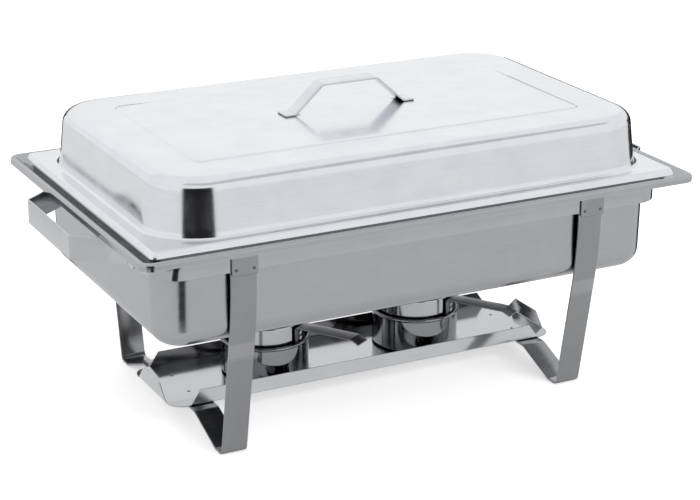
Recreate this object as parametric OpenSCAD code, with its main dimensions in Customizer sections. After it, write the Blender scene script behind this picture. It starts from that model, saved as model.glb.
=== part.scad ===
// Full-size rectangular chafing dish: lift-off lid, food pan, water pan,
// strap frame with fuel tray, and two fuel pots with handles in open cups.
// Origin: on the ground under the centre. X along the length, front is -Y, Z up.

/* [Frame band] */
// Length of the frame band over its outer faces, mm
band_l = 522.4; // [500:0.2:540]
// Width of the frame band over its outer faces, mm
band_w = 316.4; // [300:0.2:330]
// Corner radius of the band's outer face, mm
band_r = 24; // [20:1:60]
// Thickness of the band's sheet, mm
band_t = 1.5; // [1:0.1:2]
// Height of the band's lower edge above the ground, mm
band_low = 188; // [180:0.5:194]
// Height of the band's upper edge above the ground, mm
band_top = 206.2; // [200:0.1:206.4]

/* [Leg straps] */
// Distance of each leg strap's centre from the middle, mm
leg_x = 180; // [160:1:195]
// Width of the leg straps, mm
leg_w = 25; // [20:0.5:30]
// Thickness of the leg straps, mm
leg_t = 2; // [1.5:0.1:2.5]
// Height of the cross bar's centre line under the tray, mm
bar_z = 18.8; // [14:0.2:24]
// Half length of the level cross bar, mm
bar_half = 64; // [56:1:72]
// Distance of the foot's inner bend from the middle plane, mm
foot_in = 112; // [104:1:116]
// Distance of the foot's outer bend from the middle plane, mm
foot_out = 127; // [122:1:134]
// Lean of the lower leg from upright, degrees
leg_lean = 11; // [6:0.5:12]
// Radius of the long curve in the leg, mm
leg_curve_r = 380; // [250:10:380]
// Height of the lower end of the tab outside the band, mm
tab_low = 184.6; // [182:0.2:190]

/* [Side handles] */
// Distance of the grip's outer face from the middle, mm
grip_x = 304.5; // [296:0.5:315]
// Half length of the grip between its bends, mm
grip_half = 58; // [50:1:70]
// Distance of the handle's welded foot from the middle plane, mm
grip_foot = 90; // [80:1:100]
// Length of each welded foot, mm
grip_foot_l = 15; // [10:1:20]
// Height of the handle's lower edge above the ground, mm
grip_low = 185.8; // [184:0.2:192]
// Thickness of the handle strap, mm
grip_t = 2; // [1.5:0.1:2.5]

/* [Fuel tray] */
// Length of the tray between its end flaps, mm
tray_l = 419.4; // [400:0.2:440]
// Width of the tray between its side walls, mm
tray_w = 106.4; // [100:0.2:115]
// Height of the tray's walls and flaps, mm
tray_wall = 15; // [10:0.5:20]
// Radius of the floor's open corners, mm
tray_r = 17; // [10:1:18]
// Length of the side walls at the fold, mm
tray_wall_l = 382; // [360:1:384]
// Length of the side walls at the top edge, mm
tray_wall_top_l = 363; // [340:1:384]
// Length of the end flaps at the fold, mm
flap_l = 68; // [50:1:72]
// Length of the end flaps at the top edge, mm
flap_top_l = 40; // [30:1:72]
// Thickness of the tray's sheet, mm
tray_t = 1; // [0.8:0.1:1.2]

/* [Burners] */
// Distance of the left burner's axis from the middle, mm
burner_left_x = -90; // [-110:1:-70]
// Distance of the right burner's axis from the middle, mm
burner_right_x = 77; // [70:1:110]
// Outer radius of the cup's wall, mm
cup_r = 43; // [40:0.5:44]
// Height of the cup up to the middle of its rolled rim, mm
cup_h = 35; // [30:1:40]
// Radius of the cup's rolled rim, mm
cup_bead_r = 1.7; // [1:0.1:2]
// Outer radius of the fuel pot, mm
pot_r = 38.8; // [36:0.1:40]
// Height of the fuel pot, mm
pot_h = 54; // [48:1:60]
// Radius of the opening in the pot's top, mm
pot_mouth_r = 28; // [20:1:32]
// Direction of the pot handles, degrees from +X
pot_turn = -57; // [-90:1:0]
// Distance of the pot handle's tip bend from the burner's axis, mm
pot_handle_reach = 102; // [90:1:108]
// Length of the dipping lip at the pot handle's tip, mm
pot_lip = 8.5; // [5:0.5:12]
// Drop of that lip, mm
pot_lip_dip = 4; // [2:0.5:6]
// Width of the pot handles, mm
pot_handle_w = 17; // [14:0.5:20]
// Radius of the rivet shanks, mm
rivet_r = 1.6; // [1.2:0.1:2]

/* [Water pan] */
// Length of the water pan over its outer rim, mm
rim_l = 567; // [550:1:580]
// Width of the water pan over its outer rim, mm
rim_w = 363; // [345:1:366]
// Corner radius of the outer rim, mm
rim_r = 12; // [6:1:20]
// Height of the rim above the seat on the frame, mm
rim_h = 7.6; // [6:0.2:12]
// Length of the water pan's body, mm
water_l = 513; // [500:1:514]
// Width of the water pan's body, mm
water_w = 302; // [298:1:304]
// Corner radius of the water pan's body, mm
water_r = 30; // [30:1:55]
// Height of the water pan's bottom above the ground, mm
water_low = 118; // [110:1:130]

/* [Food pan] */
// Length of the food pan over its rim, mm
food_rim_l = 530; // [528:1:530]
// Width of the food pan over its rim, mm
food_rim_w = 325; // [323:1:325]
// Length of the food pan's body, mm
food_l = 503; // [495:1:504]
// Width of the food pan's body, mm
food_w = 294; // [288:1:295]
// Depth of the food pan, mm
food_depth = 65; // [40:5:65]

/* [Lid] */
// Length of the lid over its lip, mm
lid_l = 540; // [534:1:545]
// Width of the lid over its lip, mm
lid_w = 334; // [331:1:345]
// Length of the dome at its base, mm
dome_l = 508; // [490:1:512]
// Width of the dome at its base, mm
dome_w = 312; // [290:1:312]
// Corner radius of the dome at its base, mm
dome_r = 55; // [45:1:60]
// Flare of the lid's turned-down lip, mm
lip_flare = 2; // [0:0.5:3.5]
// Height of the dome's top above the ground, mm
dome_top = 273.6; // [260:0.2:290]
// Radius of the dome's top edge, mm
dome_edge_r = 13; // [10:1:22]
// Length of the raised panel on the dome, mm
panel_l = 399; // [360:1:420]
// Width of the raised panel on the dome, mm
panel_w = 203; // [180:1:220]
// Corner radius of the raised panel, mm
panel_r = 8; // [4:1:30]
// Length of the lid handle over its feet, mm
lid_handle_l = 138; // [120:1:160]
// Length of each flat foot of the lid handle, mm
lid_handle_foot = 11; // [8:1:16]
// Half length of the lid handle's level top, mm
lid_handle_top = 29; // [20:1:40]
// Width of the lid handle's strap, mm
lid_handle_w = 18; // [15:1:25]
// Height of the lid handle above the panel, mm
lid_handle_h = 28; // [22:1:35]

/* [Hidden] */
$fn = 96;
join = 0.5;               // hidden overlap where the pieces of one solid meet
sheet = 0.9;              // thickness of the pressed pans and the lid
gap = 0.2;                // air left where one loose piece rests on the next
tight_r = 6;              // centre-line radius of a sharp bend in a strap
soft_r = 8;               // centre-line radius of an easy bend in a strap

band_in = band_w / 2 - band_t;
leg_in_y = band_in - leg_t / 2 - 0.1;
leg_out_y = band_w / 2 + leg_t / 2 + 0.1;
hook_r = (leg_out_y - leg_in_y) / 2;
seat_z = band_top + 0.15 + hook_r + leg_t / 2;   // top of the hooks, where the water pan rests
grip_h = seat_z - grip_low;

tray_z = bar_z + leg_t / 2;                      // underside of the tray
tray_floor = tray_z + tray_t;
cup_z = tray_floor + gap;
cup_t = 0.8;
pot_z = cup_z + cup_t + gap;
pot_t = 0.8;
pot_top = pot_z + pot_h;
pot_strap_t = 1.5;
pot_strap_z = pot_top - 3.2;                     // centre line of the level pot handle
pot_strap_r = pot_r + gap + pot_strap_t / 2;     // centre line of its riveted foot
rivet_z = [pot_strap_z - 12.5, pot_strap_z - 7]; // the two rivets sit one above the other

ledge_z = seat_z + gap;                          // underside of the water pan's ledge
rim_top = seat_z + rim_h;
rim_slope = 11.5;                                // width of the rim's raised edge
rim_top_r = 3;                                   // radius of its round top
food_rest = ledge_z + sheet + gap;               // lower edge of the food pan's turned rim
food_edge_h = 9.2;                               // depth of that turned rim
food_top = food_rest + food_edge_h;
food_low = food_top - food_depth;
food_rim_r = 13;
lid_under = food_top + gap;                      // underside of the lid's ledge
lid_lip_low = lid_under - 5.2;
lid_r = 6;
dome_draft = 4.5;                                // the wall leans in by this much
panel_h = 1.2;
lid_handle_t = 2;
spot_r = 1.6;                                    // size of the spot welds
spot_h = 0.35;

// ---- bent straps -------------------------------------------------------

function heading(a, b) = atan2(b[1] - a[1], b[0] - a[0]);
function left_of(angle) = [-sin(angle), cos(angle)];
function turn_at(p, i) =
    let (d = heading(p[i], p[i + 1]) - heading(p[i - 1], p[i]))
    d > 180 ? d - 360 : d < -180 ? d + 360 : d;

// Points of the bend at corner i, on a line that runs "off" to the left of the path.
function bend(p, r, i, off) =
    let (a = heading(p[i - 1], p[i]), turn = turn_at(p, i), side = sign(turn) * r[i],
        start = p[i] - r[i] * tan(abs(turn) / 2) * [cos(a), sin(a)],
        centre = start + side * left_of(a), n = abs(turn) > 40 ? 8 : 5)
    [for (k = [0:n]) centre - (side - off) * left_of(a + turn * k / n)];

function edge_line(p, r, off) =
    let (n = len(p) - 1)
    [p[0] + off * left_of(heading(p[0], p[1])),
        for (i = [1:n - 1]) each bend(p, r, i, off),
        p[n] + off * left_of(heading(p[n - 1], p[n]))];

// A flat strip that follows the corner points p, with centre-line radius r[i] at corner i.
module strip(p, r, t) {
    back = edge_line(p, r, -t / 2);
    polygon(concat(edge_line(p, r, t / 2), [for (i = [len(back) - 1:-1:0]) back[i]]));
}

// ---- pressed sheet -----------------------------------------------------

module round_rect(l, w, r) {
    square([l, w - 2 * r], center = true);
    square([l - 2 * r, w], center = true);
    for (x = [-1, 1], y = [-1, 1])
        translate([x * (l / 2 - r), y * (w / 2 - r)]) circle(r);
}

module ring(l, w, r, t) {
    difference() {
        round_rect(l, w, r);
        round_rect(l - 2 * t, w - 2 * t, r - t);
    }
}

// Carries a section, drawn with its wall r from the corner's centre, round a rectangle l x w.
module sweep(l, w, r) {
    cx = l / 2 - r;
    cy = w / 2 - r;
    for (a = [0:3])
        translate([(a == 0 || a == 3 ? 1 : -1) * cx, (a < 2 ? 1 : -1) * cy])
            rotate(90 * a) rotate_extrude(angle = 90) children();
    for (s = [0, 1]) mirror([s, 0]) translate([cx, 0, 0])
        rotate([90, 0, 0]) linear_extrude(2 * cy, center = true) children();
    for (s = [0, 1]) mirror([0, s]) translate([0, cy, 0])
        rotate([90, 0, 90]) linear_extrude(2 * cx, center = true) children();
}

// Section of a pan from its bottom at z0 to its mouth at z1: wall r, in by draft at the bottom.
module pan_section(r, z0, z1, edge, draft) {
    translate([0, z0]) square([r - draft - edge, sheet]);
    intersection() {
        translate([r - draft - edge, z0 + edge]) difference() {
            circle(edge);
            circle(edge - sheet);
        }
        translate([r - draft - edge, z0]) square(edge);
    }
    polygon([[r - draft - sheet, z0 + edge], [r - draft, z0 + edge], [r, z1], [r - sheet, z1]]);
}

module pan_floor(l, w, r, z0) {
    translate([0, 0, z0 + sheet / 2]) cube([l - 2 * r, w - 2 * r, sheet], center = true);
}

// ---- lid ---------------------------------------------------------------

module lid_shell() {
    z_wall = dome_top - dome_edge_r;
    r_top = dome_r - dome_draft;
    color("gainsboro") {
        sweep(dome_l, dome_w, dome_r) {
            polygon([[dome_r - sheet, lid_under], [dome_r, lid_under],
                [r_top, z_wall], [r_top - sheet, z_wall]]);
            intersection() {
                translate([r_top - dome_edge_r, z_wall]) difference() {
                    circle(dome_edge_r);
                    circle(dome_edge_r - sheet);
                }
                translate([r_top - dome_edge_r, z_wall]) square(dome_edge_r);
            }
            translate([0, dome_top - sheet]) square([r_top - dome_edge_r, sheet]);
        }
        pan_floor(dome_l, dome_w, dome_r, dome_top - sheet);
        translate([0, 0, dome_top - join]) linear_extrude(panel_h + join)
            round_rect(panel_l, panel_w, panel_r);
        lid_ledge();
    }
}

// Flat ledge round the dome, and the short lip that flares down and out.
module lid_ledge() {
    translate([0, 0, lid_under]) linear_extrude(sheet) difference() {
        round_rect(lid_l - 2 * lip_flare, lid_w - 2 * lip_flare, lid_r - lip_flare);
        round_rect(dome_l - 2 * sheet, dome_w - 2 * sheet, dome_r - sheet);
    }
    inner = lid_r - lip_flare;
    sweep(lid_l, lid_w, lid_r)
        polygon([[inner - sheet, lid_under], [inner, lid_under + sheet],
            [lid_r, lid_lip_low], [lid_r - sheet, lid_lip_low]]);
}

module lid_handle() {
    z0 = dome_top + panel_h + gap / 4 + lid_handle_t / 2;
    half = lid_handle_l / 2;
    z1 = z0 + lid_handle_h - lid_handle_t;
    path = [[-half, z0], [-half + lid_handle_foot, z0], [-lid_handle_top, z1],
        [lid_handle_top, z1], [half - lid_handle_foot, z0], [half, z0]];
    color("silver") rotate([90, 0, 0])
        linear_extrude(lid_handle_w, center = true)
            strip(path, [0, 3, tight_r, tight_r, 3, 0], lid_handle_t);
}

// ---- pans --------------------------------------------------------------

module food_pan() {
    r = 45;
    edge = 14;
    color("lightgrey") {
        sweep(food_l, food_w, r) pan_section(r, food_low, food_top - sheet, edge, draft = 7);
        pan_floor(food_l, food_w, r, food_low);
        translate([0, 0, food_top - sheet]) linear_extrude(sheet) difference() {
            round_rect(food_rim_l, food_rim_w, food_rim_r);
            round_rect(food_l - 2 * sheet, food_w - 2 * sheet, r - sheet);
        }
        translate([0, 0, food_rest]) linear_extrude(food_edge_h)
            ring(food_rim_l, food_rim_w, food_rim_r, sheet);
    }
}

module water_pan() {
    color("silver") {
        sweep(water_l, water_w, water_r)
            pan_section(water_r, water_low, ledge_z, edge = 19, draft = 1.5);
        pan_floor(water_l, water_w, water_r, water_low);
        translate([0, 0, ledge_z]) linear_extrude(sheet) difference() {
            round_rect(rim_l - 2 * rim_slope, rim_w - 2 * rim_slope, rim_r - rim_slope);
            round_rect(water_l - 2 * sheet, water_w - 2 * sheet, water_r - sheet);
        }
        sweep(rim_l, rim_w, rim_r) rim_section();
    }
}

// The rim's edge: up a short slope, over a round top and down a plain outer wall.
module rim_section() {
    x0 = rim_r - rim_slope;
    xc = rim_r - rim_top_r;
    zc = rim_top - rim_top_r;
    polygon([[x0 - join, ledge_z], [x0 + sheet / 2, ledge_z], [xc - rim_top_r + sheet, zc],
        [xc - rim_top_r, zc], [x0 - join, ledge_z + sheet]]);
    intersection() {
        translate([xc, zc]) difference() {
            circle(rim_top_r);
            circle(rim_top_r - sheet);
        }
        translate([xc - rim_top_r, zc]) square([2 * rim_top_r, rim_top_r]);
    }
    translate([rim_r - sheet, ledge_z + sheet / 4]) square([sheet, zc - ledge_z - sheet / 4]);
}

// ---- frame -------------------------------------------------------------

module frame_band() {
    color("darkgrey") translate([0, 0, band_low]) linear_extrude(band_top - band_low)
        ring(band_l, band_w, band_r, band_t);
}

// A leg strap seen along X: cross bar, feet, legs, and hooks over the band.
module leg_outline() {
    elbow_z = leg_t / 2 + (leg_in_y - foot_out) / tan(leg_lean);
    hook_z = seat_z - leg_t / 2;
    half = [[bar_half, bar_z], [foot_in, leg_t / 2], [foot_out, leg_t / 2],
        [leg_in_y, elbow_z], [leg_in_y, hook_z], [leg_out_y, hook_z], [leg_out_y, tab_low]];
    half_r = [soft_r, soft_r, tight_r, leg_curve_r, hook_r, hook_r, 0];
    last = len(half) - 1;
    strip(concat([for (i = [last:-1:0]) [-half[i][0], half[i][1]]], half),
        concat([for (i = [last:-1:0]) half_r[i]], half_r), leg_t);
}

module leg_strap(side) {
    color("lightgrey") translate([side * leg_x, 0, 0]) rotate([90, 0, 90])
        linear_extrude(leg_w, center = true) leg_outline();
}

module side_handle(side) {
    x_grip = grip_x - grip_t / 2;
    x_foot = band_l / 2 + grip_t / 2 + 0.05;
    path = [[x_foot, -grip_foot - grip_foot_l], [x_foot, -grip_foot], [x_grip, -grip_half],
        [x_grip, grip_half], [x_foot, grip_foot], [x_foot, grip_foot + grip_foot_l]];
    color("silver") translate([0, 0, grip_low]) mirror([side > 0 ? 0 : 1, 0, 0])
        linear_extrude(grip_h) strip(path, [0, 3, 4, 4, 3, 0], grip_t);
}

module fuel_tray() {
    color("gainsboro") {
        translate([0, 0, tray_z]) linear_extrude(tray_t) round_rect(tray_l, tray_w, tray_r);
        for (s = [0, 1]) mirror([0, s, 0]) translate([0, tray_w / 2, tray_z])
            rotate([90, 0, 0]) linear_extrude(tray_t)
                fold_up(tray_wall_l, tray_wall_top_l);
        for (s = [0, 1]) mirror([s, 0, 0]) translate([tray_l / 2 - tray_t, 0, tray_z])
            rotate([90, 0, 90]) linear_extrude(tray_t)
                fold_up(flap_l, flap_top_l);
    }
}

// A folded-up edge with slanted ends, drawn from the fold upwards.
module fold_up(bottom, top) {
    polygon([[-bottom / 2, 0], [bottom / 2, 0], [top / 2, tray_wall], [-top / 2, tray_wall]]);
}

module spot() {
    cylinder(h = spot_h, r1 = spot_r, r2 = spot_r * 0.6);
}

// Two spot welds near the lower end of each of the four tabs.
module tab_weld_spots() {
    from_edge = 4;
    above_end = 5.5;
    dx = leg_w / 2 - from_edge;
    color("dimgrey") for (x = [-leg_x, leg_x], e = [-dx, dx], s = [0, 1])
        mirror([0, s, 0]) translate([x + e, leg_out_y + leg_t / 2, tab_low + above_end])
            rotate([-90, 0, 0]) spot();
}

// Spot welds that hold the tray's floor to the two cross bars.
module tray_weld_spots() {
    color("dimgrey") for (x = [-leg_x, leg_x], y = [-21, 21])
        translate([x, y, tray_floor]) spot();
}

// ---- burners -----------------------------------------------------------

module burner_cup(x) {
    bead_z = cup_z + cup_h;
    edge = 3;
    color("silver") translate([x, 0, 0]) rotate_extrude() {
        translate([0, cup_z]) square([cup_r - edge, cup_t]);
        intersection() {
            translate([cup_r - edge, cup_z + edge]) difference() {
                circle(edge);
                circle(edge - cup_t);
            }
            translate([cup_r - edge, cup_z]) square(edge);
        }
        translate([cup_r - cup_t, cup_z + edge]) square([cup_t, cup_h - edge]);
        translate([cup_r, bead_z]) circle(cup_bead_r);
    }
}

module fuel_pot(x) {
    edge = 2;
    color("lightgrey") translate([x, 0, 0]) difference() {
        rotate_extrude() {
            translate([0, pot_z]) square([pot_r, pot_t]);
            translate([pot_r - pot_t, pot_z]) square([pot_t, pot_h - edge]);
            intersection() {
                translate([pot_r - edge, pot_top - edge]) difference() {
                    circle(edge);
                    circle(edge - pot_t);
                }
                translate([pot_r - edge, pot_top - edge]) square(edge);
            }
            translate([pot_mouth_r, pot_top - pot_t]) square([pot_r - edge - pot_mouth_r, pot_t]);
        }
        at_rivets() cylinder(h = 4, r = rivet_r + 0.05, center = true);
    }
}

// Places its children on the pot's wall, +Z outwards, at each rivet.
module at_rivets() {
    for (z = rivet_z) rotate(pot_turn) translate([pot_r - pot_t / 2, 0, z])
        rotate([0, 90, 0]) children();
}

// The pot's handle: riveted foot, level strap and a short lip that dips at the tip.
module pot_handle(x) {
    path = [[pot_strap_r, rivet_z[0] - 4], [pot_strap_r, pot_strap_z],
        [pot_handle_reach, pot_strap_z], [pot_handle_reach + pot_lip, pot_strap_z - pot_lip_dip]];
    color("grey") translate([x, 0, 0]) difference() {
        rotate(pot_turn) rotate([90, 0, 0]) linear_extrude(pot_handle_w, center = true)
            strip(path, [0, 2.5, 5, 0], pot_strap_t);
        // back of the foot follows the pot's round wall
        translate([0, 0, pot_z]) cylinder(h = pot_h + 1, r = pot_r + 0.1);
        at_rivets() cylinder(h = 12, r = rivet_r + 0.05, center = true);
    }
}

module pot_rivets(x) {
    head_h = 1;
    head_r = 2.6;
    inside = 0.2;             // keeps the flat inner head off the pot's round wall
    color("dimgrey") translate([x, 0, 0]) at_rivets() {
        translate([0, 0, -pot_t / 2 - inside - head_h]) cylinder(h = head_h, r = head_r);
        translate([0, 0, -pot_t / 2 - join])
            cylinder(h = pot_t + pot_strap_t + gap + 2 * join, r = rivet_r);
        translate([0, 0, pot_t / 2 + gap + pot_strap_t]) cylinder(h = head_h, r1 = head_r, r2 = head_r * 0.7);
    }
}

lid_shell();
lid_handle();
food_pan();
water_pan();
frame_band();
leg_strap(-1);  // left_leg_strap
leg_strap(1);  // right_leg_strap
side_handle(-1);  // left_side_handle
side_handle(1);  // right_side_handle
fuel_tray();
tab_weld_spots();
tray_weld_spots();
burner_cup(burner_left_x);  // left_burner_cup
fuel_pot(burner_left_x);  // left_fuel_pot
pot_handle(burner_left_x);  // left_pot_handle
pot_rivets(burner_left_x);  // left_pot_rivets
burner_cup(burner_right_x);  // right_burner_cup
fuel_pot(burner_right_x);  // right_fuel_pot
pot_handle(burner_right_x);  // right_pot_handle
pot_rivets(burner_right_x);  // right_pot_rivets
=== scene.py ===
import math

import bpy
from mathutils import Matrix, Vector


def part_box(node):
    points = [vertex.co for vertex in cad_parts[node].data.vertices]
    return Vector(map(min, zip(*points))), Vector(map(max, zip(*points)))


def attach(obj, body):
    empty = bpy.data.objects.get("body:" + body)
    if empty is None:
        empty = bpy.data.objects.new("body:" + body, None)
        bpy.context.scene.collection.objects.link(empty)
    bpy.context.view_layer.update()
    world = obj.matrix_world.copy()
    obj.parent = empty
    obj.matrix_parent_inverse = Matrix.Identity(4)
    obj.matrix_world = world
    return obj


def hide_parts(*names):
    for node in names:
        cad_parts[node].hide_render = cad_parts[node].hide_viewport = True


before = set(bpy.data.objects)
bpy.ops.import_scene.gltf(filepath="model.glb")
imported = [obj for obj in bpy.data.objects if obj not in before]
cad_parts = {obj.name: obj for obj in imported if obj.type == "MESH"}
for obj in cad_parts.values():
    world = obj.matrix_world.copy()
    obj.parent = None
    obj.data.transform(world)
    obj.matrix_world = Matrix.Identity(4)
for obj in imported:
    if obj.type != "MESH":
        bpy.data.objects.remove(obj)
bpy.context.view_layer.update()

MM = 0.001                                 # a millimetre in the frame's metres
SHEET = 0.9                                # sheet of the lid and of both pans, in mm


# ---- meshes, in millimetres --------------------------------------------------

def add_mesh(name, shape, body, nodes, material):
    """A smooth piece that rides on body, replaces the CAD nodes and takes the material."""
    verts, faces = shape
    mesh = bpy.data.meshes.new(name)
    mesh.from_pydata([(x * MM, y * MM, z * MM) for x, y, z in verts], [], faces)
    mesh.validate()
    mesh.polygons.foreach_set("use_smooth", [True] * len(mesh.polygons))
    mesh.set_sharp_from_angle(angle=math.radians(35))
    mesh.materials.append(material)
    piece = bpy.data.objects.new(name, mesh)
    bpy.context.scene.collection.objects.link(piece)
    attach(piece, body)
    if nodes:
        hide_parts(*nodes)
    return piece


def box_mm(node):
    low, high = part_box(node)
    return low / MM, high / MM


def between(a, b, t):
    """The point that lies the share t of the way from a to b."""
    return tuple(p + (q - p) * t for p, q in zip(a, b))


def loft(rings, closed=False):
    """Faces between rings of equal length, and a cap on each end when the profile is open."""
    n = len(rings[0])
    verts = [v for ring in rings for v in ring]
    faces = []
    for i in range(len(rings) if closed else len(rings) - 1):
        a, b = i * n, (i + 1) % len(rings) * n
        faces += [(a + k, a + (k + 1) % n, b + (k + 1) % n, b + k) for k in range(n)]
    if not closed:
        faces.append(tuple(range(n))[::-1])
        faces.append(tuple(range((len(rings) - 1) * n, len(rings) * n)))
    return verts, faces


def outline(half_l, half_w, r, corner=22, along_l=20, along_w=12):
    """Points round a rounded rectangle, the same count for every size."""
    cx, cy = half_l - r, half_w - r
    sides = (((half_l, -cy), (half_l, cy), along_w), ((cx, half_w), (-cx, half_w), along_l),
             ((-half_l, cy), (-half_l, -cy), along_w), ((-cx, -half_w), (cx, -half_w), along_l))
    centres = ((cx, cy), (-cx, cy), (-cx, -cy), (cx, -cy))
    points = []
    for quarter, ((start, end, steps), (x, y)) in enumerate(zip(sides, centres)):
        points += [between(start, end, k / steps) for k in range(steps)]
        turns = [math.radians(90 * quarter + 90 * k / corner) for k in range(corner)]
        points += [(x + r * math.cos(a), y + r * math.sin(a)) for a in turns]
    return points


def rounded(path, closed=False):
    """Lofts (half length, half width, corner radius, height) stations."""
    return loft([[(x, y, z) for x, y in outline(l, w, max(r, 0.05))] for l, w, r, z in path], closed)


def arc(cd, cz, radius, a0, a1, steps):
    """Points of a section on an arc from a0 to a1 degrees round (cd, cz)."""
    turns = [math.radians(a0 + (a1 - a0) * k / steps) for k in range(steps + 1)]
    return [(cd + radius * math.cos(a), cz + radius * math.sin(a)) for a in turns]


def stations(base, section):
    """A section of (offset, height) points carried on a base (half length, half width, radius)."""
    l, w, r = base
    return [(l + d, w + d, r + d, z) for d, z in section]


def lathe(section, centre, steps=144):
    """Turns an open (radius, height) section, from the axis to the axis, round a vertical line."""
    turns = [2 * math.pi * k / steps for k in range(steps)]
    return loft([[(centre[0] + r * math.cos(a), centre[1] + r * math.sin(a), z) for a in turns]
                 for r, z in section])


def bent_line(points, radii, step=9.0):
    """The centre line of a bent strap: dense points and their left-hand normals."""
    line = []

    def heading(a, b):
        return math.atan2(b[1] - a[1], b[0] - a[0])

    def straight(a, b):
        h = heading(a, b)
        count = max(1, int(math.dist(a, b) / step))
        line.extend((between(a, b, k / count), (-math.sin(h), math.cos(h))) for k in range(count + 1))

    at = points[0]
    for i in range(1, len(points) - 1):
        a, b = heading(points[i - 1], points[i]), heading(points[i], points[i + 1])
        turn = (b - a + math.pi) % (2 * math.pi) - math.pi
        side = math.copysign(radii[i], turn)
        cut = radii[i] * math.tan(abs(turn) / 2)
        start = (points[i][0] - cut * math.cos(a), points[i][1] - cut * math.sin(a))
        if math.dist(at, start) > 0.01:
            straight(at, start)
        centre = (start[0] - side * math.sin(a), start[1] + side * math.cos(a))
        count = max(10, int(abs(turn) * radii[i] / 4))
        for k in range(1, count + 1):
            h = a + turn * k / count
            at = (centre[0] + side * math.sin(h), centre[1] - side * math.cos(h))
            line.append((at, (-math.sin(h), math.cos(h))))
    straight(at, points[-1])
    return line


def strap(points, radii, thick, half_width, place, edge=0.45):
    """A flat strap with rounded edges. half_width is a number or a function of the second coordinate."""
    line = bent_line(points, radii)
    width = half_width if callable(half_width) else lambda v: half_width

    def section(p, n, inset):
        ring = []
        w, t, e = width(p[1]) - inset, thick / 2 - inset, max(edge - inset, 0.05)
        for sx, sy, a0 in ((1, 1, 0), (-1, 1, 90), (-1, -1, 180), (1, -1, 270)):
            for k in range(4):
                a = math.radians(a0 + 30 * k)
                across = sx * (w - e) + e * math.cos(a)
                up = sy * (t - e) + e * math.sin(a)
                ring.append(place(p[0] + n[0] * up, p[1] + n[1] * up, across))
        return ring

    def shifted(index, other):
        (p, n), (q, _) = line[index], line[other]
        return between(p, q, edge / math.dist(p, q)), n

    rings = [section(*line[0], edge), section(*shifted(0, 1), 0)]
    rings += [section(p, n, 0) for p, n in line[1:-1]]
    rings += [section(*shifted(-1, -2), 0), section(*line[-1], edge)]
    return loft(rings)


# ---- materials -------------------------------------------------------------

class Nodes:
    """Short names for building one procedural material."""

    def __init__(self, name):
        self.material = bpy.data.materials.new(name)
        self.material.use_nodes = True
        self.tree = self.material.node_tree
        self.shader = self.tree.nodes["Principled BSDF"]

    def add(self, kind, **values):
        node = self.tree.nodes.new(kind)
        for key, value in values.items():
            if hasattr(node, key):
                setattr(node, key, value)
            else:
                node.inputs[key].default_value = value
        return node

    def link(self, a, b):
        self.tree.links.new(a, b)

    def noise(self, scale, detail, stretch=(1, 1, 1), rough=0.55):
        coord = self.add("ShaderNodeTexCoord")
        place = self.add("ShaderNodeMapping", Scale=stretch)
        noise = self.add("ShaderNodeTexNoise", Scale=scale, Detail=detail, Roughness=rough)
        self.link(coord.outputs["Object"], place.inputs["Vector"])
        self.link(place.outputs["Vector"], noise.inputs["Vector"])
        return noise.outputs["Fac"]

    def ramp(self, source, low, high, at0, at1):
        """The source's stretch from at0 to at1, spread over low to high."""
        ramp = self.add("ShaderNodeMapRange")
        for socket, value in (("From Min", at0), ("From Max", at1), ("To Min", low), ("To Max", high)):
            ramp.inputs[socket].default_value = value
        self.link(source, ramp.inputs["Value"])
        return ramp.outputs["Result"]

    def math(self, how, a, b):
        node = self.add("ShaderNodeMath", operation=how)
        for socket, value in zip(node.inputs, (a, b)):
            if isinstance(value, (int, float)):
                socket.default_value = value
            else:
                self.link(value, socket)
        return node.outputs[0]

    def bump(self, height, depth_mm, normal=None):
        bump = self.add("ShaderNodeBump", Strength=1.0, Distance=depth_mm * MM)
        self.link(height, bump.inputs["Height"])
        if normal:
            self.link(normal, bump.inputs["Normal"])
        return bump.outputs["Normal"]


DULL, BRIGHT = (0.94, 0.954, 0.99), (1.015, 1.027, 1.06)   # ends of a steel's colour, times its tone
RUBBED = (0.30, 0.30, 0.31, 1)                             # light that rubbed edges add


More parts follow.
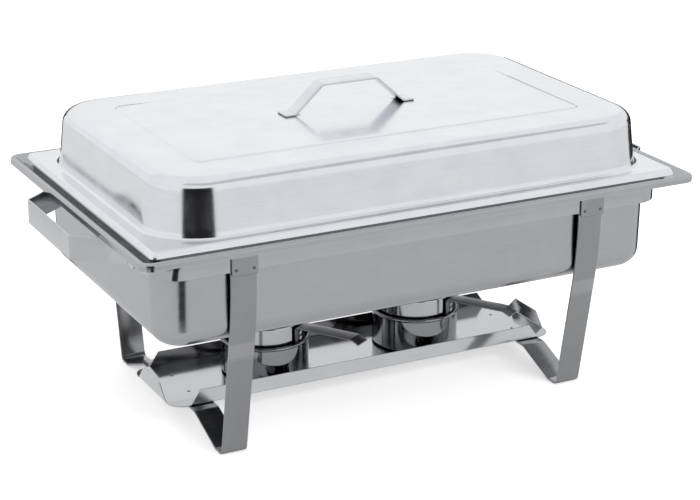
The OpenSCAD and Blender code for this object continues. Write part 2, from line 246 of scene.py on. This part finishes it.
def steel(name, tone, rough, grain=(1, 1, 1), grain_depth=0.012, wave=0.10, spread=0.05, warm=0.0):
    """Stainless steel: drawn grain, wavy sheet, smudges, rubbed edges, and painted shade that darkens the
    base colour in close places.
    """
    m = Nodes(name)
    lines = m.noise(1.0, 4, tuple(700 * g for g in grain), 0.7)
    smudge = m.noise(34, 4)
    soft = m.noise(7, 1.5)
    fine = m.noise(900, 2)

    colour = m.add("ShaderNodeMix", data_type="RGBA", blend_type="MIX")
    for socket, (red, green, blue) in (("A", DULL), ("B", BRIGHT)):
        colour.inputs[socket].default_value = (tone * red, tone * green, tone * (blue - warm), 1)
    blotch = m.math("ADD", m.math("MULTIPLY", smudge, 0.55), m.math("MULTIPLY", lines, 0.45))
    m.link(m.ramp(blotch, 0, 1, 0.38, 0.62), colour.inputs["Factor"])

    edges = m.add("ShaderNodeNewGeometry")
    rub = m.add("ShaderNodeMix", data_type="RGBA", blend_type="SCREEN")
    m.link(m.ramp(edges.outputs["Pointiness"], 0, 0.35, 0.52, 0.60), rub.inputs["Factor"])
    m.link(colour.outputs["Result"], rub.inputs["A"])
    rub.inputs["B"].default_value = RUBBED

    # Painted shade: ambient occlusion darkens the base colour almost to black in gaps, creases and under
    # lips, where shade falls.
    close = m.add("ShaderNodeAmbientOcclusion", samples=6, Distance=6 * MM)
    crevice_shade = m.add("ShaderNodeVectorMath", operation="SCALE")
    m.link(rub.outputs["Result"], crevice_shade.inputs[0])
    m.link(m.ramp(close.outputs["AO"], 0.04, 1.0, 0.26, 0.70), crevice_shade.inputs["Scale"])
    m.link(crevice_shade.outputs["Vector"], m.shader.inputs["Base Color"])

    haze = m.math("ADD", m.ramp(smudge, -spread * 0.6, spread, 0.35, 0.68),
                  m.ramp(lines, -spread * 0.5, spread * 0.5, 0.35, 0.65))
    m.link(m.math("ADD", haze, rough), m.shader.inputs["Roughness"])
    m.shader.inputs["Metallic"].default_value = 1.0
    brushed = m.math("ADD", lines, m.math("MULTIPLY", fine, 0.25))
    m.link(m.bump(brushed, grain_depth, m.bump(soft, wave)), m.shader.inputs["Normal"])
    return m.material


ALONG_X, ALONG_Y, ALONG_Z = (0.02, 1, 1), (1, 0.02, 1), (1, 1, 0.02)
ROUND = (0.02, 0.02, 1)                    # level lines that run right round a drawn wall

lid_steel = steel("lid steel", 0.79, 0.15, ROUND, 0.006, 0.10, 0.04)
pan_steel = steel("pan steel", 0.45, 0.20, ROUND, 0.010, 0.16, 0.05)
band_steel = steel("band steel", 0.46, 0.14, ROUND, 0.004, 0.05, 0.04)
leg_steel = steel("leg steel", 0.33, 0.20, ALONG_Z, 0.010, 0.05, 0.05)
handle_steel = steel("handle steel", 0.52, 0.20, ALONG_Y, 0.008, 0.05, 0.05)
lid_handle_steel = steel("lid handle steel", 0.72, 0.20, ALONG_X, 0.008, 0.05, 0.05)
tray_steel = steel("tray steel", 0.48, 0.14, ALONG_X, 0.004, 0.10, 0.04)
tray_wall_steel = steel("tray wall steel", 0.66, 0.14, ALONG_X, 0.004, 0.05, 0.04)
# Painted shade: the tray's back wall is the same sheet as its other walls, made much darker to stand in for
# the shade under the pan that it reflects.
tray_back_shaded_steel = steel("tray back shaded steel", 0.17, 0.12, ALONG_X, 0.004, 0.05, 0.04)
cup_steel = steel("cup steel", 0.33, 0.08, ROUND, 0.003, 0.03, 0.03)
pot_steel = steel("pot steel", 0.56, 0.12, ROUND, 0.005, 0.04, 0.04)
pot_handle_steel = steel("pot handle steel", 0.19, 0.22, ALONG_X, 0.008, 0.04, 0.05)
rivet_steel = steel("rivet steel", 0.50, 0.25, (1, 1, 1), 0.004, 0.0, 0.05)
weld_steel = steel("weld steel", 0.16, 0.45, (1, 1, 1), 0.02, 0.0, 0.08, 0.02)


# ---- lid -------------------------------------------------------------------

PANEL_RISE = 1.2                           # the raised panel above the dome's top
LIP_DROP = 5.2                             # the ledge's underside above the lip's edge
LIP_BEND = 2                               # outer radius where the ledge turns down
LIP_IN = 4.2                               # that bend's centre, inward from the lip
FOOT_R = 5                                 # fillet between the ledge and the dome's wall
TOP_R = 13                                 # radius of the dome's top edge
LEAN = 4.5                                 # how far the wall leans in by then
panel = (199.5, 101.5, 8)                  # half length, half width and corner of the raised panel


def lid_dome():
    low, high = box_mm("lid_shell")
    edge, panel_z = low.z, high.z
    top = panel_z - PANEL_RISE
    ledge = edge + LIP_DROP + SHEET        # top face of the flat ledge
    foot = ledge + FOOT_R                  # where the wall starts
    crown = top - TOP_R                    # where the wall runs into the top edge
    lip = (high.x, high.y, 6)
    dome = (high.x - 16, high.y - 11, 55)

    skin = stations(lip, [(-0.3, edge), (0, edge + 0.2), (-0.1, edge + 0.5), (-1.7, edge + 4)]
                    + arc(-LIP_IN, ledge - LIP_BEND, LIP_BEND, 25, 90, 8))
    skin += stations(dome, [(6.5, ledge)] + arc(FOOT_R - 0.6, foot, FOOT_R, 270, 186, 10))
    skin += stations(dome, [(-LEAN * k / 6 - 0.6 * (6 - k) / 6, foot + (crown - foot) * k / 6)
                            for k in range(1, 6)])
    skin += stations(dome, arc(-LEAN - TOP_R, crown, TOP_R, 6, 90, 18))
    skin += stations((panel[0], panel[1], panel[2] + 18), [(20, top)])
    skin += stations(panel, [(5, top), (1.3, top), (0.9, top + 0.12), (0.35, top + 0.6),
                             (-0.2, top + 1.08), (-0.6, panel_z), (-4, panel_z)])
    skin += [(panel[0] * s, panel[1] * s, panel[2] * s, panel_z) for s in (0.85, 0.6, 0.35, 0.1)]

    under = [(14 * s + 8, 9 * s + 6, 4, top - SHEET) for s in (0, 4, 9)]
    under += stations(dome, arc(-LEAN - TOP_R, crown, TOP_R - SHEET, 90, 0, 18))
    under += stations(dome, [(-SHEET, foot + 1), (1, ledge + 1), (5, ledge - SHEET)])
    under += stations(lip, [(-LIP_IN - 0.4, ledge - SHEET)]
                      + arc(-LIP_IN, ledge - LIP_BEND, LIP_BEND - SHEET, 80, 25, 4)
                      + [(-SHEET, edge + 0.5), (-SHEET + 0.3, edge)])
    return rounded(under + skin)


def lid_handle():
    low, high = box_mm("lid_handle")
    thick = 2
    half, foot, top = high.x, low.z + thick / 2, high.z - thick / 2
    foot_in, grip = half - 11, 29          # inner end of a foot, half length of the level grip
    line = [(-half, foot), (-foot_in, foot), (-grip, top), (grip, top), (foot_in, foot), (half, foot)]
    return strap(line, [0, 3, 6, 6, 3, 0], thick, high.y, lambda u, v, a: (u, -a, v))


add_mesh("lid_dome", lid_dome(), "lid", ["lid_shell"], lid_steel)
add_mesh("lid_handle_strap", lid_handle(), "lid", ["lid_handle"], lid_handle_steel)


# ---- pans ------------------------------------------------------------------

FLOOR_RINGS = ((40, 20, 8), (150, 70, 20))     # half length, half width and corner of the floor's rings


def pan_floor(z):
    return [(*ring, z) for ring in FLOOR_RINGS]


def food_pan():
    low, high = box_mm("food_pan")
    bottom, top = low.z, high.z
    rim, body = (high.x, high.y, 13), (251.5, 147, 45)
    draft, floor_r = 7, 14                 # the walls' lean and the round of the bottom edge
    rim_r, mouth_r = 1.6, 2.5              # rounds of the rim's edge and of the mouth
    hem, fall = top - 9, top - mouth_r - bottom - floor_r
    upper = stations(rim, [(-SHEET + 0.2, hem - 0.2), (-0.2, hem - 0.2), (0, hem)]
                     + arc(-rim_r, top - rim_r, rim_r, 0, 90, 6))
    upper += stations(body, [(7, top)] + arc(mouth_r - SHEET, top - mouth_r, mouth_r, 90, 180, 6))
    upper += stations(body, [(-SHEET - draft * k / 5, top - mouth_r - fall * k / 5) for k in range(1, 5)])
    upper += stations(body, arc(-draft - floor_r, bottom + floor_r, floor_r - SHEET, 0, -90, 12))
    upper += pan_floor(bottom + SHEET)[::-1]
    lower = pan_floor(bottom)
    lower += stations(body, arc(-draft - floor_r, bottom + floor_r, floor_r, -90, 0, 12))
    lower += stations(body, [(0, top - 3.4), (3, top - SHEET)])
    lower += stations(rim, [(-3, top - SHEET), (-SHEET, top - 3), (-SHEET, hem)])
    return rounded(lower + upper)


def water_pan():
    low, high = box_mm("water_pan")
    bottom, top = low.z, high.z
    rim, body = (high.x, high.y, 12), (256.5, 151, 30)
    draft, floor_r = 1.5, 19               # the walls' lean and the round of the bottom edge
    rim_r, rim_in, rim_turn = 3, 12, 140   # round top of the rim, its foot and how far the round goes
    ledge = top - 7.4                      # underside of the ledge, which sits on the frame
    inner = ledge + SHEET
    fall = ledge - 2.1 - bottom - floor_r
    rise = ledge - 2.2 - bottom - floor_r
    upper = stations(rim, [(0, ledge + 0.3), (0, ledge + 1)]
                     + arc(-rim_r, top - rim_r, rim_r, 0, rim_turn, 18)
                     + [(-10.4, inner + 0.9), (-rim_in, inner)])
    upper += stations(body, [(6, inner)] + arc(3 - SHEET, inner - 3, 3, 90, 180, 6))
    upper += stations(body, [(-SHEET - draft * k / 6, ledge - 2.1 - fall * k / 6) for k in range(1, 6)])
    upper += stations(body, arc(-draft - floor_r, bottom + floor_r, floor_r - SHEET, 0, -90, 16))
    upper += pan_floor(bottom + SHEET)[::-1]
    lower = pan_floor(bottom)
    lower += stations(body, arc(-draft - floor_r, bottom + floor_r, floor_r, -90, 0, 18))
    lower += stations(body, [(-draft + draft * k / 6, bottom + floor_r + rise * k / 6) for k in range(1, 7)])
    lower += stations(body, arc(2.2, ledge - 2.2, 2.2, 180, 90, 5))
    lower += stations(rim, [(0.1 - rim_in, ledge), (-9.6, ledge + 1)]
                      + arc(-rim_r, top - rim_r, rim_r - SHEET, rim_turn, 0, 14)
                      + [(-SHEET, ledge + 1), (-SHEET, ledge + 0.3)])
    return rounded(lower + upper)


add_mesh("food_pan_drawn", food_pan(), "food_pan", ["food_pan"], pan_steel)
add_mesh("water_pan_drawn", water_pan(), "water_pan", ["water_pan"], pan_steel)


# ---- frame -----------------------------------------------------------------

def band():
    low, high = box_mm("frame_band")
    edge, thick, corner = 0.4, 1.5, 24
    outer, inner, upper, lower = -edge, edge - thick, high.z - edge, low.z + edge
    ring = arc(outer, upper, edge, 0, 90, 3) + arc(inner, upper, edge, 90, 180, 3)
    ring += arc(inner, lower, edge, 180, 270, 3) + arc(outer, lower, edge, 270, 360, 3)
    return rounded(stations((high.x, high.y, corner), ring)[::-1], closed=True)


def leg(side):
    """One strap: tab, hook over the band, leg, foot, bar under the tray, and the same again."""
    low, high = box_mm(side + "_leg_strap")
    centre, half_w = (low.x + high.x) / 2, (high.x - low.x) / 2
    thick, bar, tab_end = 2, 18.8, 184.6
    foot_in, foot_out, foot = 112, 127, thick / 2
    hook_gap = 3.7                         # between the tab's middle and the leg's
    y_out = high.y - thick / 2
    y_in = y_out - hook_gap
    hook = high.z - thick / 2
    lean = math.tan(math.radians(11))      # the lower leg leans inward
    half = [(64, bar), (foot_in, foot), (foot_out, foot), (y_in, foot + (y_in - foot_out) / lean),
            (y_in, hook), (y_out, hook), (y_out, tab_end)]
    half_r = [8, 8, 6, 380, hook_gap / 2, hook_gap / 2, 0]
    return strap([(-y, z) for y, z in half[::-1]] + half, half_r[::-1] + half_r, thick, half_w,
                 lambda u, v, a: (centre + a, u, v))


def side_handle(side, sign):
    low, high = box_mm(side + "_side_handle")
    thick, end_y, foot_y, grip_y = 2, 105, 90, 58
    near, far = sorted((abs(low.x), abs(high.x)))
    foot, grip = near + thick / 2, far - thick / 2
    mid, half_h = (low.z + high.z) / 2, (high.z - low.z) / 2
    half = [(grip, grip_y), (foot, foot_y), (foot, end_y)]
    return strap([(x, -y) for x, y in half[::-1]] + half, [0, 3, 4, 4, 3, 0], thick, half_h,
                 lambda u, v, a: (sign * u, v, mid - sign * a))


add_mesh("band_strip", band(), "frame", ["frame_band"], band_steel)
for side, sign in (("left", -1), ("right", 1)):
    add_mesh(side + "_leg", leg(side), "frame", [side + "_leg_strap"], leg_steel)
    add_mesh(side + "_carry_handle", side_handle(side, sign), "frame", [side + "_side_handle"],
             handle_steel)


# ---- fuel tray -------------------------------------------------------------

low, high = box_mm("fuel_tray")
TRAY_SHEET, FOLD, TRAY_CORNER = 1, 1.6, 17
WALL_HALF, WALL_TOP = 191, 181.5           # half length of a long wall at its foot and at its edge
FLAP_HALF, FLAP_TOP = 34, 20               # the same for an end flap
tray_x, tray_y, tray_low, tray_top = high.x, high.y, low.z, high.z
tray_floor = tray_low + TRAY_SHEET


def tray_quarter(sx, sy):
    """One corner of the floor's outline, from its end flap round to its long wall."""
    points = [(tray_x - FOLD, FLAP_HALF), (tray_x, FLAP_HALF)]
    points += arc(tray_x - TRAY_CORNER, tray_y - TRAY_CORNER, TRAY_CORNER, 0, 90, 12)
    points += [(WALL_HALF, tray_y), (WALL_HALF, tray_y - FOLD)]
    points = [(sx * x, sy * y) for x, y in points]
    return points if sx * sy > 0 else points[::-1]


def tray_wall(name, reach, half_low, half_top, place, metal=tray_wall_steel):
    def spread(v):
        share = (v - tray_floor) / (tray_top - tray_floor)
        return half_low + (half_top - half_low) * max(0, min(1, share))

    middle = TRAY_SHEET / 2
    level, upright = tray_low + middle, reach - middle
    line = [(reach - FOLD, level), (upright, level), (upright, tray_top)]
    shape = strap(line, [0, FOLD - middle, 0], TRAY_SHEET, spread, place, edge=0.25)
    add_mesh(name, shape, "frame", [], metal)


rim_line = tray_quarter(1, 1) + tray_quarter(-1, 1) + tray_quarter(-1, -1) + tray_quarter(1, -1)
floor_shape = loft([[(x, y, z) for x, y in rim_line] for z in (tray_low, tray_floor)])
floor_piece = add_mesh("tray_floor", floor_shape, "frame", ["fuel_tray"], tray_steel)
soften = floor_piece.modifiers.new("edges", "BEVEL")
soften.width, soften.segments, soften.limit_method = 0.25 * MM, 2, "ANGLE"

tray_wall("tray_wall_front", tray_y, WALL_HALF, WALL_TOP, lambda u, v, a: (a, -u, v))
# The back wall takes the darker steel with painted shade.
tray_wall("tray_wall_back", tray_y, WALL_HALF, WALL_TOP, lambda u, v, a: (-a, u, v), tray_back_shaded_steel)
tray_wall("tray_flap_left", tray_x, FLAP_HALF, FLAP_TOP, lambda u, v, a: (-u, -a, v))
tray_wall("tray_flap_right", tray_x, FLAP_HALF, FLAP_TOP, lambda u, v, a: (u, a, v))

for node in ("tab_weld_spots", "tray_weld_spots"):
    for material_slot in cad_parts[node].material_slots:
        material_slot.material = weld_steel


# ---- burners ---------------------------------------------------------------

CUP_R, CUP_SHEET, BEAD_R = 43, 0.8, 1.7
POT_SHEET, MOUTH_R = 0.8, 28
POT_TURN = math.radians(-57)               # where a pot's handle points
STRAP_THICK, STRAP_HALF, STRAP_REACH = 1.5, 8.5, 110.5
RIVET_R, RIVET_STEM = 2.6, 1.6


def burner_cup(low, high, centre):
    base, bead, wall = low.z, high.z - BEAD_R, low.z + 20
    foot_r = 3
    cup = [(2, base), (30, base)] + arc(CUP_R - foot_r, base + foot_r, foot_r, 270, 360, 8)
    cup += [(CUP_R, wall), (CUP_R, bead - 2.1)] + arc(CUP_R, bead, BEAD_R, -78, 236, 26)
    cup += [(CUP_R - CUP_SHEET, bead - 3), (CUP_R - CUP_SHEET, wall)]
    cup += arc(CUP_R - foot_r, base + foot_r, foot_r - CUP_SHEET, 0, -90, 6)
    cup += [(30, base + CUP_SHEET), (2, base + CUP_SHEET)]
    return lathe(cup, centre)


def fuel_pot(low, high, centre):
    base, top, r = low.z, high.z, (high.x - low.x) / 2
    foot_r, top_r, shelf, wall = 1.2, 2, 32, base + 25
    pot = [(2, base), (30, base)] + arc(r - foot_r, base + foot_r, foot_r, 270, 360, 5)
    pot += [(r, wall), (r, top - 4)] + arc(r - top_r, top - top_r, top_r, 0, 90, 8) + [(shelf, top)]
    pot += arc(MOUTH_R + POT_SHEET / 2, top - POT_SHEET / 2, POT_SHEET / 2, 90, 270, 6)
    pot += [(shelf, top - POT_SHEET)] + arc(r - top_r, top - top_r, top_r - POT_SHEET, 90, 0, 6)
    pot += [(r - POT_SHEET, wall)] + arc(r - 1.6, base + 1.6, 0.8, 0, -90, 4)
    pot += [(30, base + POT_SHEET), (2, base + POT_SHEET)]
    return lathe(pot, centre)


def rivets(levels, near, r, out):
    """Two rivets through the strap and the pot's wall: a low dome outside, a flat head inside."""
    turns = [math.radians(15 * k) for k in range(1, 6)]
    head = [(RIVET_R, near + 1.4), (RIVET_R, near + 1.7)]
    head += [(RIVET_R * math.cos(a), near + 1.7 + 0.9 * math.sin(a)) for a in turns]
    back = [(RIVET_STEM, r - 1.8), (2.4, r - 1.7), (RIVET_R, r - 1), (RIVET_STEM, r - 1)]
    back.append((RIVET_STEM, near + 1.4))
    around = [2 * math.pi * k / 20 for k in range(20)]
    verts, faces = [], []
    for z in levels:
        v, f = loft([[out(u, z + q * math.sin(b), q * math.cos(b)) for b in around] for q, u in back + head])
        faces += [tuple(i + len(verts) for i in face) for face in f]
        verts += v
    return verts, faces


for side in ("left", "right"):
    low, high = box_mm(side + "_burner_cup")
    centre = ((low.x + high.x) / 2, (low.y + high.y) / 2)
    add_mesh(side + "_cup_spun", burner_cup(low, high, centre), side + "_cup", [side + "_burner_cup"],
             cup_steel)

    low, high = box_mm(side + "_fuel_pot")
    add_mesh(side + "_pot_spun", fuel_pot(low, high, centre), side + "_pot", [side + "_fuel_pot"],
             pot_steel)

    def out(u, v, a, c=centre):
        """A point u along the handle, a across it and v high."""
        along, across = math.cos(POT_TURN), math.sin(POT_TURN)
        return (c[0] + u * along + a * across, c[1] + u * across - a * along, v)

    pot_r = (high.x - low.x) / 2
    near = pot_r + 0.2 + STRAP_THICK / 2       # the strap stands 0.2 mm off the pot
    level = high.z - 3.2
    line = [(near + 0.6, level - 16.5), (near + 0.6, level), (102, level), (STRAP_REACH, level - 4)]
    add_mesh(side + "_pot_strap", strap(line, [0, 2.5, 5, 0], STRAP_THICK, STRAP_HALF, out, 0.35),
             side + "_pot", [side + "_pot_handle"], pot_handle_steel)
    add_mesh(side + "_rivet_pair", rivets((level - 12.5, level - 7), near, pot_r, out),
             side + "_pot", [side + "_pot_rivets"], rivet_steel)


# ---- stage -----------------------------------------------------------------

STAGE = 9                                  # half the floor's length, in metres
CARD_LIFT = 0.002                          # a card on the floor lies this high


def plain(name, colour, glow=0.0):
    m = Nodes(name)
    m.shader.inputs["Base Color"].default_value = (*colour, 1)
    m.shader.inputs["Roughness"].default_value = 0.9
    m.shader.inputs["Specular IOR Level"].default_value = 0.1
    if glow:
        m.shader.inputs["Emission Color"].default_value = (1, 1, 1, 1)
        m.shader.inputs["Emission Strength"].default_value = glow
    return m.material


def stage_mesh(name, points, faces, material, only_reflected=False):
    mesh = bpy.data.meshes.new(name)
    mesh.from_pydata(points, [], faces)
    mesh.materials.append(material)
    obj = bpy.data.objects.new(name, mesh)
    bpy.context.scene.collection.objects.link(obj)
    if only_reflected:
        obj.visible_camera = False
        obj.visible_diffuse = False
        obj.visible_shadow = False
        obj.visible_transmission = False
    return obj


def on_arc(centre, reach, azimuth):
    a = math.radians(azimuth)
    return centre[0] + reach * math.cos(a), centre[1] + reach * math.sin(a)


def standing_card(name, centre, reach, from_az, to_az, low_z, high_z, material):
    """A bent card that stands on an arc round a point, seen only in reflections."""
    points, count = [], 8
    for k in range(count + 1):
        x, y = on_arc(centre, reach, from_az + (to_az - from_az) * k / count)
        points += [(x, y, low_z), (x, y, high_z)]
    faces = [(2 * k, 2 * k + 1, 2 * k + 3, 2 * k + 2) for k in range(count)]
    stage_mesh(name, points, faces, material, True)


def lying_card(name, outline_points):
    """A black card on the floor, seen only in reflections."""
    points = [(x, y, CARD_LIFT) for x, y in outline_points]
    stage_mesh(name, points, [tuple(range(len(points)))], black, True)


def lying_sector(name, centre, near, far, from_az, to_az):
    """A lying card between two distances from a point."""
    azimuths = (from_az, (from_az + to_az) / 2, to_az)
    lying_card(name, [on_arc(centre, near, az) for az in azimuths]
               + [on_arc(centre, far, az) for az in azimuths[::-1]])


def floor_corners(z):
    return [(-STAGE, -STAGE, z), (STAGE, -STAGE, z), (STAGE, STAGE, z), (-STAGE, STAGE, z)]


# The camera and the shadows see "floor". Reflections see "floor_bounce" just under it.
floor_sheet = stage_mesh("floor", floor_corners(0), [(0, 1, 2, 3)],
                         plain("floor white", (0.82, 0.82, 0.82), 0.48))
floor_sheet.visible_glossy = False
floor_sheet.visible_diffuse = False
bounce = stage_mesh("floor_bounce", floor_corners(-0.0005), [(0, 1, 2, 3)],
                    plain("floor grey", (0.30, 0.30, 0.30), 0.52), True)
bounce.visible_diffuse = True

black = plain("black card", (0.012, 0.012, 0.013))
soft_grey = plain("soft grey card", (0.42, 0.42, 0.43), 0.10)
lying_card("near_black_card", [(-0.385, -0.40), (-0.44, -0.60), (-0.46, -0.74), (-0.52, -1.20),
                               (-0.16, -1.20), (-0.21, -0.74), (-0.235, -0.60), (-0.25, -0.40)])
near_corner, right_end, left_end = (-0.23, -0.14), (0.25, -0.12), (-0.25, 0.12)
standing_card("corner_card", near_corner, 2.0, -141, -80, 0.0, 1.3, black)
standing_card("right_back_card", right_end, 1.2, 12, 63, 0.0, 0.42, black)
standing_card("left_back_card", left_end, 1.2, 66, 94, 0.0, 0.42, black)
lying_sector("corner_floor_card", near_corner, 0.7, 2.0, -141, -80)
standing_card("crown_card", (0, 0), 1.0, -150, -20, 1.15, 2.1, soft_grey)
lying_sector("right_floor_card", right_end, 0.22, 1.2, 12, 63)
lying_sector("left_floor_card", left_end, 0.22, 1.2, 66, 94)


# ---- light and camera --------------------------------------------------------

def area(name, at, target, size_x, size_y, watts, reflected=False):
    light = bpy.data.lights.new(name, "AREA")
    light.shape = "RECTANGLE"
    light.size, light.size_y = size_x, size_y
    light.energy = watts
    obj = bpy.data.objects.new(name, light)
    obj.location = at
    obj.rotation_euler = (Vector(target) - Vector(at)).to_track_quat("-Z", "Y").to_euler()
    obj.visible_glossy = reflected
    bpy.context.scene.collection.objects.link(obj)


area("overhead_softbox", (0.0, 0.3, 2.2), (0, 0.05, 0.1), 2.4, 1.8, 20)
area("back_softbox", (0.6, 2.6, 1.3), (0, 0, 0.3), 3.6, 2.0, 1.5, reflected=True)
area("left_softbox", (-2.3, 0.1, 1.2), (0, 0, 0.15), 1.6, 1.6, 6)
area("front_fill", (0.9, -2.4, 1.7), (0.2, -0.7, 0.0), 1.4, 1.2, 30)

world = bpy.data.worlds.new("studio")
bpy.context.scene.world = world
world.use_nodes = True
sky = world.node_tree.nodes["Background"]
sky.inputs["Color"].default_value = (1, 1, 1, 1)
sky.inputs["Strength"].default_value = 0.95

camera = bpy.data.cameras.new("camera")
camera.sensor_width = 36
camera.lens = 103.973
camera.shift_x, camera.shift_y = -0.0014, 0.0013
camera.clip_start, camera.clip_end = 0.05, 60
view = bpy.data.objects.new("camera", camera)
yaw, pitch = 0.47039, 0.34086              # radians to the right of +Y and below level
view.location = (-0.84765, -1.67642, 0.79386)
ahead = Vector((math.cos(pitch) * math.sin(yaw), math.cos(pitch) * math.cos(yaw), -math.sin(pitch)))
view.rotation_euler = ahead.to_track_quat("-Z", "Y").to_euler()
bpy.context.scene.collection.objects.link(view)
bpy.context.scene.camera = view
bpy.context.scene.view_settings.view_transform = "Standard"
